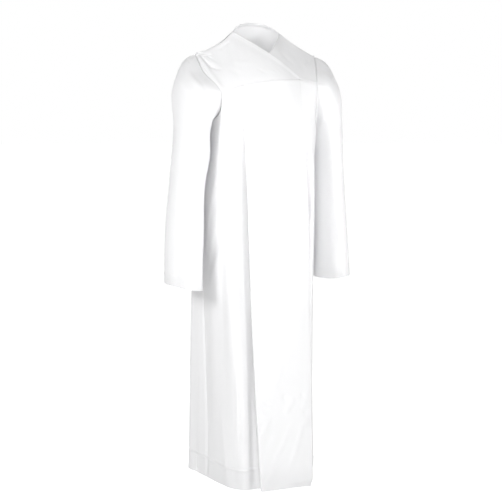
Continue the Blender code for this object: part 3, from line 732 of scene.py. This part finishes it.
def inset(grid, values, edge, distance):
    """Values of a grid along a line that runs this distance inside an edge."""
    lines, held = facing(grid, edge), facing(values, edge)
    run = lengths_along(lines)
    return np.array([at(distance, run[:, column], held[:, column])
                     for column in range(run.shape[1])])


def turned_edge(grid, normals, uv, edge, depth, gap, trim):
    """The cloth turned under at one edge: a small roll, then a run back inside the piece."""
    keep = slice(trim, -trim or None)
    lines, outs, flat = (facing(array, edge)[:, keep] for array in (grid, normals, uv))
    out = unit(lines[0] - lines[1])
    along_uv = unit(flat[0] - flat[1])
    radius = gap / 2
    points, places = [lines[0]], [flat[0]]
    for turn in np.linspace(0, math.pi, ROLL_STEPS + 1)[1:]:
        points.append(lines[0] + out * math.sin(turn) * radius
                      - outs[0] * (1 - math.cos(turn)) * radius)
        places.append(flat[0] + along_uv * turn * radius)
    for share in np.linspace(0, 1, TURN_STEPS + 1)[1:]:
        inside = inset(grid, grid, edge, depth * share)[keep]
        normal = inset(grid, normals, edge, depth * share)[keep]
        points.append(inside - normal * gap)
        places.append(flat[0] + along_uv * (math.pi * radius + depth * share))
    return np.array(points), np.array(places)


def cloth_uv(grid):
    """Distances across and down the cloth, in metres, from the grid's middle line."""
    across = lengths_along(grid.swapaxes(0, 1)).T
    across = across - across[:, across.shape[1] // 2][:, None]
    return np.stack((across, -lengths_along(grid)), 2)


def cloth_mesh(name, sheets):
    """One mesh from grids of points that share edges. Each sheet is its points and their uv."""
    shell = bmesh.new()
    for points, _ in sheets:
        rows, columns = points.shape[:2]
        bmesh.ops.create_grid(shell, x_segments=columns - 1, y_segments=rows - 1)
    mesh = bpy.data.meshes.new(name)
    shell.to_mesh(mesh)
    shell.free()
    mesh.vertices.foreach_set("co", np.concatenate([points.reshape(-1) for points, _ in sheets]))
    corner = np.empty(len(mesh.loops), int)
    mesh.loops.foreach_get("vertex_index", corner)
    flat = np.concatenate([places.reshape(-1, 2) for _, places in sheets])
    mesh.uv_layers.new(name="cloth").data.foreach_set("uv", flat[corner].reshape(-1))
    shell = bmesh.new()
    shell.from_mesh(mesh)
    bmesh.ops.remove_doubles(shell, verts=shell.verts, dist=WELD)
    bmesh.ops.recalc_face_normals(shell, faces=shell.faces)
    shell.faces.ensure_lookup_table()
    points = sheets[0][0]
    face = shell.faces[len(points) // 2 * (points.shape[1] - 1) + points.shape[1] // 2]
    outward = face.calc_center_median()
    if name.startswith("sleeve"):
        outward = outward - Vector(points[:, :-1].mean((0, 1)))
    outward.z = 0
    if outward.dot(face.normal) < 0:
        bmesh.ops.reverse_faces(shell, faces=shell.faces)
    shell.to_mesh(mesh)
    shell.free()
    mesh.shade_smooth()
    return mesh


def seam_turns(edges, trim):
    """Seam allowances turned under at these edges."""
    return [(edge, SEAM_ALLOWANCE, SEAM_TURN, trim) for edge in edges]


def new_object(name, data):
    made = bpy.data.objects.new(name, data)
    bpy.context.collection.objects.link(made)
    return made


def cloth_piece(name, grid, edges, material, closed=False):
    """A shell on one of the frame's pieces: its grid, with a sheet for each of its turned edges."""
    normals, uv = normals_of(grid, closed), cloth_uv(grid)
    sheets = [(grid, uv)] + [turned_edge(grid, normals, uv, *edge) for edge in edges]
    piece = new_object(name + "_cloth", cloth_mesh(name + "_cloth", sheets))
    piece.data.materials.append(material)
    wall = piece.modifiers.new("wall", "SOLIDIFY")
    wall.thickness = CLOTH
    wall.offset = -1
    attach(piece, "root")
    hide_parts(name)


# Materials

class Value:
    """A value in a material's tree. Sums and products of it add the tree's Math nodes."""

    def __init__(self, tree, socket):
        self.tree = tree
        self.socket = socket

    def math(self, operation, *others):
        return self.tree.add("ShaderNodeMath", {"operation": operation},
                             dict(enumerate((self,) + others)))

    def __add__(self, other):
        return self.math("ADD", other)

    def __mul__(self, other):
        return self.math("MULTIPLY", other)

    def __sub__(self, other):
        return self.math("SUBTRACT", other)

    def __rsub__(self, other):
        return self.tree.add("ShaderNodeMath", {"operation": "SUBTRACT"}, {0: other, 1: self})

    __radd__ = __add__
    __rmul__ = __mul__


class Tree:
    """The nodes of a material, or of the sky."""

    def __init__(self, owner, shader="Principled BSDF"):
        owner.use_nodes = True
        self.owner = owner
        self.nodes = owner.node_tree.nodes
        self.shader = self.nodes[shader]

    def feed(self, socket, value):
        if isinstance(value, Value):
            self.owner.node_tree.links.new(value.socket, socket)
        else:
            socket.default_value = value

    def add(self, kind, settings=None, sockets=None, output=0):
        node = self.nodes.new(kind)
        for name, setting in (settings or {}).items():
            setattr(node, name, setting)
        for name, value in (sockets or {}).items():
            self.feed(node.inputs[name], value)
        return Value(self, node.outputs[output])

    def mix(self, share, first, second):
        """A colour between two others, by the colour sockets of a Mix node."""
        return self.add("ShaderNodeMix", {"data_type": "RGBA"}, {0: share, 6: first, 7: second}, 2)

    def places(self):
        """The place on the object, the fourth output of its node."""
        return self.add("ShaderNodeTexCoord", None, None, 3)

    def shade(self, **sockets):
        for name, value in sockets.items():
            self.feed(self.shader.inputs[name.replace("_", " ")], value)
        return self.owner


THREAD = 0.00042          # pitch of the plain weave
WHITE = (0.86, 0.86, 0.865, 1)
WHITE_THIN = (0.83, 0.83, 0.84, 1)
FLOOR_GREYS = ((0.90, 0.90, 0.90, 1), (0.93, 0.93, 0.93, 1))
THREAD_WAVE = 0.4         # share of a thread's height that comes and goes along it
STREAKS = (1400.0, 90.0, 1.0)   # how fine the threads' unevenness is across and along them


def white_polyester():
    """Plain-woven white polyester with a faint sheen; its weave follows the cloth."""
    tree = Tree(bpy.data.materials.new("white_polyester_cloth"))
    cloth = tree.add("ShaderNodeUVMap", {"uv_map": "cloth"})
    across = tree.add("ShaderNodeSeparateXYZ", None, {0: cloth}, 0) * (1 / THREAD)
    along = tree.add("ShaderNodeSeparateXYZ", None, {0: cloth}, 1) * (1 / THREAD)
    over = (across.math("FLOOR") + along.math("FLOOR")).math("PINGPONG", 1.0)
    round_across = (across.math("FRACT") * math.pi).math("SINE")
    round_along = (along.math("FRACT") * math.pi).math("SINE")
    warp = round_across * (round_along * THREAD_WAVE + (1 - THREAD_WAVE))
    weft = round_along * (round_across * THREAD_WAVE + (1 - THREAD_WAVE))
    weave = warp * over + weft * (1 - over)
    streaks = tree.add("ShaderNodeMapping", {"vector_type": "POINT"},
                       {"Vector": cloth, "Scale": STREAKS})
    slub = tree.add("ShaderNodeTexNoise", None, {"Vector": streaks, "Scale": 1.0, "Detail": 2.0})
    cloud = tree.add("ShaderNodeTexNoise", None, {"Vector": cloth, "Scale": 14.0, "Detail": 3.0})
    tone = tree.mix(slub * 0.5 + cloud * 0.5, WHITE_THIN, WHITE)
    bump = tree.add("ShaderNodeBump", None,
                    {"Strength": 0.35, "Distance": 0.00006, "Height": weave + slub * 0.6})
    return tree.shade(Base_Color=tone, Roughness=0.56 + cloud * 0.08 - weave * 0.05, Normal=bump,
                      Sheen_Weight=0.12, Sheen_Roughness=0.35, IOR=1.46,
                      Subsurface_Weight=0.25, Subsurface_Scale=0.003,
                      Subsurface_Radius=(1.0, 1.0, 1.0))


def white_thread():
    tree = Tree(bpy.data.materials.new("white_thread"))
    twist = tree.add("ShaderNodeTexWave", {"wave_type": "BANDS", "bands_direction": "DIAGONAL"},
                     {"Vector": tree.places(), "Scale": 2600.0, "Distortion": 0.6})
    tone = tree.mix(twist, WHITE_THIN, WHITE)
    bump = tree.add("ShaderNodeBump", None, {"Strength": 0.3, "Distance": 0.00004, "Height": twist})
    return tree.shade(Base_Color=tone, Roughness=0.42 + twist * 0.08, Normal=bump)


def pale_floor():
    tree = Tree(bpy.data.materials.new("pale_floor"))
    grain = tree.add("ShaderNodeTexNoise", None,
                     {"Vector": tree.places(), "Scale": 3.0, "Detail": 2.0})
    return tree.shade(Base_Color=tree.mix(grain, *FLOOR_GREYS), Roughness=0.9 + grain * 0.05,
                      Emission_Color=(1, 1, 1, 1), Emission_Strength=FLOOR_GLOW)


def backdrop_paper():
    tree = Tree(bpy.data.materials.new("backdrop_paper"))
    return tree.shade(Base_Color=(0, 0, 0, 1), Roughness=1.0, Emission_Color=(1, 1, 1, 1),
                      Emission_Strength=BACKDROP, Specular_IOR_Level=0.0)


# The pieces, with the number of facets between the places of their tables

STEP_DOWN = [66, 60, 66, 112]
STEP_DOWN_LEFT = [52, 46, 50, 92]
STEP_DOWN_BACK = [46, 42, 44, 84]
STEP_DOWN_SLEEVE = [14, 22, 26, 34, 40, 52]
STEP_DOWN_YOKE_BACK = [22, 20, 20]
STEP_PANEL = [7, 26, 26, 26, 26, 7]
STEP_BACK, STEP_SLEEVE, STEP_YOKE_BACK = 11, 17, 14
PANEL_SEAMS = (("top", SEAM_GROOVE),)
SIDE_SEAMS = (("top", SEAM_GROOVE), ("start", SIDE_GROOVE))
BACK_SEAMS = SIDE_SEAMS + (("end", SIDE_GROOVE),)
SLEEVE_SEAMS = (("top", ARMHOLE_GROOVE),)
YOKE_SEAMS = (("top", SIDE_GROOVE), ("bottom", YOKE_GROOVE), ("start", ARMHOLE_GROOVE))
YOKE_BACK_SEAMS = (("bottom", YOKE_GROOVE), ("start", ARMHOLE_GROOVE), ("end", ARMHOLE_GROOVE))
HEM = ("bottom", HEM_DEPTH, HEM_TURN, TRIM)
# What the grids of the side fronts and front yokes are made from, and their steps across and down
SIDE_FRONTS = {
    "front_right": ((RIGHT, FRONT_RIGHT, SEAM_RIGHT), [16, 26, 20, 16, 10, 13, 12], STEP_DOWN),
    "front_left": ((LEFT, FRONT_LEFT, SEAM_LEFT), [13, 20, 16, 14, 9, 11, 9], STEP_DOWN_LEFT),
}
FRONT_YOKES = {
    "yoke_right": ((RIGHT, NECK_RIGHT_X, WRAP_END_X, YOKE_RIGHT), [50] * 3, [34, 36, 36]),
    "yoke_left": ((LEFT, NECK_LEFT_X, UNDERLAP_END_X, YOKE_LEFT), [40] * 3, [28, 30, 30]),
}


def front_panel(material):
    grid = front_panel_grid(STEP_PANEL, STEP_DOWN)
    grid = soften_folds(grid, [sum(STEP_PANEL[:fold]) for fold in PLEAT_FOLDS])
    grid = dress("front_panel", grid, STEP_PANEL, PANEL_SEAMS)
    cloth_piece("front_panel", grid, [HEM] + seam_turns(["top"], PANEL_TRIM), material)


def side_fronts(material):
    for name, (form, across, down) in SIDE_FRONTS.items():
        grid = dress(name, side_front_grid(*form, across, down), across, SIDE_SEAMS)
        sew(grid, HEM_DEPTH)
        cloth_piece(name, grid, [HEM] + seam_turns(["top", "start"], TRIM), material)


def back(material):
    grid = dress("back", back_grid(STEP_BACK, STEP_DOWN_BACK), STEP_BACK, BACK_SEAMS)
    sew(grid, HEM_DEPTH)
    cloth_piece("back", grid, [HEM] + seam_turns(["top", "start", "end"], TRIM), material)


def sleeves(material):
    for name, side in (("sleeve_right", RIGHT), ("sleeve_left", LEFT)):
        grid = sleeve_grid(side, STEP_SLEEVE, STEP_DOWN_SLEEVE)
        grid = dress(name, grid, STEP_SLEEVE, SLEEVE_SEAMS, closed=True)
        sew(grid, CUFF_DEPTH, closed=True)
        edges = [("bottom", CUFF_DEPTH, HEM_TURN, 0)] + seam_turns(["top"], 0)
        cloth_piece(name, grid, edges, material, closed=True)


def front_yokes(material):
    for name, (form, across, down) in FRONT_YOKES.items():
        grid = dress(name, yoke_grid(*form, across, down), across, YOKE_SEAMS)
        edges = [("end", FACING_DEPTH, FACING_TURN, YOKE_TRIM)]
        edges += seam_turns(["top", "bottom", "start"], YOKE_TRIM)
        cloth_piece(name, grid, edges, material)


def yoke_back(material):
    grid = yoke_back_grid(STEP_YOKE_BACK, STEP_DOWN_YOKE_BACK)
    grid = dress("yoke_back", grid, STEP_YOKE_BACK, YOKE_BACK_SEAMS)
    edges = seam_turns(["bottom", "start", "end"], YOKE_TRIM)
    edges += [("top", NECK_DEPTH, NECK_TURN, 2 * STEP_YOKE_BACK)]   # between the neck points
    cloth_piece("yoke_back", grid, edges, material)


# Camera, light and floor

AZIMUTH = math.radians(-23)
PAN = math.radians(0.36)
PITCH = math.radians(-6.95)
DISTANCE, CAMERA_Z = 3.75, -0.17
LENS, SENSOR = 91.0, 36              # millimetres
SIGHT_END = 100                      # the camera sees this far
FLOOR_Z, FLOOR_RADIUS, FLOOR_SIDES = -1.42, 30, 96
DOME_RADIUS, DOME_PARTS = 40, (48, 24)
SKY = ((-0.05, 0.74), (0.05, 0.54), (0.65, 0.17))   # height on the sky and its brightness
SKY_SCALE, SKY_START = 0.5, 0.5      # from a height of -1 to 1 to the ramp's 0 to 1
# Each light's place, what it faces, its size, power and spread in degrees
SCREENS = {"left_screen": ((-3.35, -1.2, 1.05), (-0.08, 0, -0.45), (1.2, 1.2), 11.2, 70),
           "main_screen": ((-1.3, -3.4, -0.5), (-0.08, 0, -0.68), (1.6, 1.6), 6.6, 58),
           "right_screen": ((2.2, -3.0, 0.4), (-0.08, 0, -0.36), (1.4, 1.4), 7.4, 56),
           "near_strip": ((-0.85, -1.39, -0.36), (-0.165, -0.05, -0.42), (0.08, 0.40), 0.06, 14),
           "far_strip": ((-0.42, -1.42, -0.42), (0.175, -0.03, -0.45), (0.08, 0.45), 0.05, 14),
           "neck_fill": ((0.0, -0.03, -0.20), (0.02, 0.09, -0.05), (0.06, 0.06), 0.10, 160),
           "back_screen": ((1.2, 3.3, 0.3), (0, 0.05, -0.55), (1.6, 1.6), 4.5, 60)}
BACKDROP, FLOOR_GLOW = 1.0, 0.85     # how bright the backdrop and the floor glow


def camera():
    eye = new_object("camera", bpy.data.cameras.new("camera"))
    heading = AZIMUTH + PAN
    look = Vector((-math.sin(heading) * math.cos(PITCH), math.cos(heading) * math.cos(PITCH),
                   math.sin(PITCH)))
    eye.location = (DISTANCE * math.sin(AZIMUTH), -DISTANCE * math.cos(AZIMUTH), CAMERA_Z)
    eye.rotation_euler = look.to_track_quat("-Z", "Y").to_euler()
    eye.data.lens = LENS
    eye.data.sensor_width = SENSOR
    eye.data.clip_end = SIGHT_END
    bpy.context.scene.camera = eye


def area_light(name, place, target, size, power, spread):
    light = new_object(name, bpy.data.lights.new(name, "AREA"))
    light.data.shape = "RECTANGLE"
    light.data.size, light.data.size_y = size
    light.data.energy = power
    light.data.spread = math.radians(spread)
    light.location = place
    light.visible_camera = False
    light.rotation_euler = (Vector(target) - Vector(place)).to_track_quat("-Z", "Y").to_euler()


def studio():
    """A bright studio. The sky is brighter low down. A high screen stands on the left, a low one in
    front, one on the right and one behind. Two narrow strips light the hollows beside the
    sleeves, and a small light the inside of the neck."""
    world = bpy.data.worlds.new("studio")
    bpy.context.scene.world = world
    tree = Tree(world, "Background")
    up = tree.add("ShaderNodeSeparateXYZ", None, {0: tree.add("ShaderNodeTexCoord")}, 2)
    share = tree.add("ShaderNodeMath", {"operation": "MULTIPLY_ADD"},
                     {0: up, 1: SKY_SCALE, 2: SKY_START})
    colour = tree.add("ShaderNodeValToRGB", None, {0: share})
    stops = colour.socket.node.color_ramp.elements
    stops.new(SKY_START)
    for stop, (height, grey) in zip(stops, SKY):
        stop.position = height * SKY_SCALE + SKY_START
        stop.color = (grey, grey, grey, 1)
    tree.shade(Color=colour, Strength=1.0)
    for name, settings in SCREENS.items():
        area_light(name, *settings)
    bpy.context.scene.view_settings.view_transform = "Standard"


def stage_piece(name, shape, material):
    """A piece of the studio, from its shape. It throws no light on matt cloth."""
    mesh = bpy.data.meshes.new(name)
    shape.to_mesh(mesh)
    shape.free()
    mesh.materials.append(material)
    made = new_object(name, mesh)
    made.visible_diffuse = False
    return made


def floor():
    """A pale floor. Its glow shows in the cloth's faint gloss, but doesn't light the cloth."""
    shape = bmesh.new()
    bmesh.ops.create_circle(shape, cap_ends=True, segments=FLOOR_SIDES, radius=FLOOR_RADIUS)
    bmesh.ops.translate(shape, verts=shape.verts, vec=(0, 0, FLOOR_Z))
    stage_piece("floor", shape, pale_floor())


def backdrop():
    """A pale dome far behind everything; only the camera sees it, so it gives no light."""
    shape = bmesh.new()
    bmesh.ops.create_uvsphere(shape, u_segments=DOME_PARTS[0], v_segments=DOME_PARTS[1],
                              radius=DOME_RADIUS)
    dome = stage_piece("backdrop", shape, backdrop_paper())
    dome.visible_glossy = False
    dome.visible_transmission = False
    dome.visible_shadow = False


def main():
    cloth = white_polyester()
    camera()
    studio()
    floor()
    backdrop()
    front_panel(cloth)
    side_fronts(cloth)
    back(cloth)
    sleeves(cloth)
    front_yokes(cloth)
    yoke_back(cloth)
    stitches(white_thread())


main()
